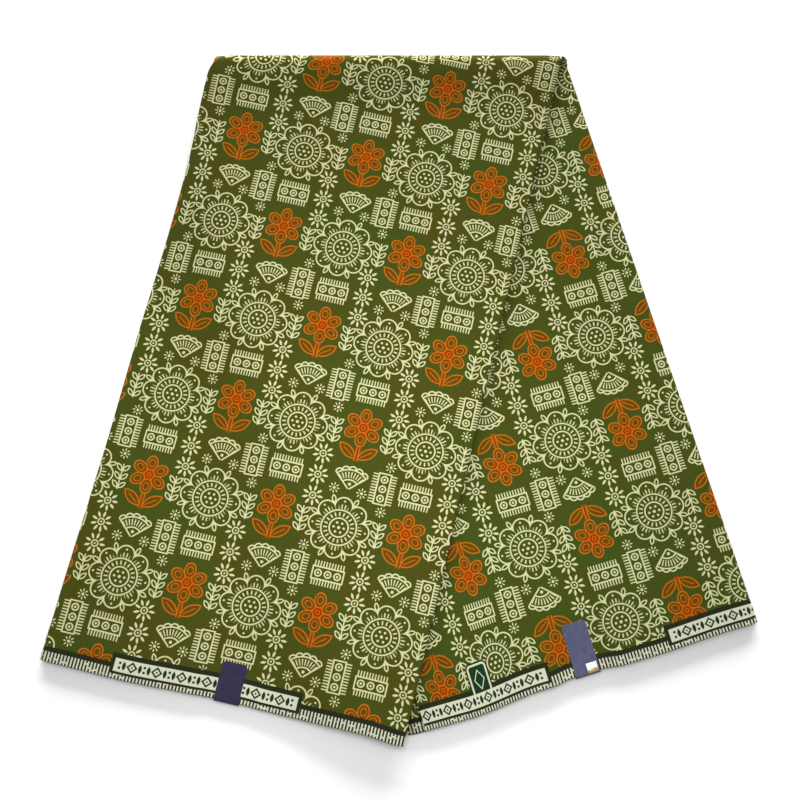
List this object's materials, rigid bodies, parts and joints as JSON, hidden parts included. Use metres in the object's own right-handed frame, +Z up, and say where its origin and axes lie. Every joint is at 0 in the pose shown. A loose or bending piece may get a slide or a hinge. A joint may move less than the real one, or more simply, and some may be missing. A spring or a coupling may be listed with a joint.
{
  "type": "wax print fabric",
  "caption": "Length of printed cotton cloth, pleated into a strip and folded over at the top, its two halves lying a little apart with the bordered hems towards the viewer.",
  "frame": {"origin": "under the middle of the box, on the surface that the cloth rests on", "axes": "+Z up, +Y towards the fold, -Y towards the two hems, +X to the right of a viewer who has the hems nearest"},
  "size_m": [0.5928, 0.6092, 0.0187],
  "materials": {
    "printed_cotton": "glazed plain-weave cotton, olive ground with cream and orange print",
    "dark_label": "coated paper, dark violet blue, satin",
    "slate_label": "coated paper, slate blue, satin",
    "seal_foil": "pale shiny foil"
  },
  "bodies": {
    "root": {"outer_layer": "printed_cotton", "hidden_layers": "printed_cotton", "inner_layer": "printed_cotton", "front_label": "dark_label", "back_label": "slate_label", "label_seal": "seal_foil"}
  },
  "joints": []
}
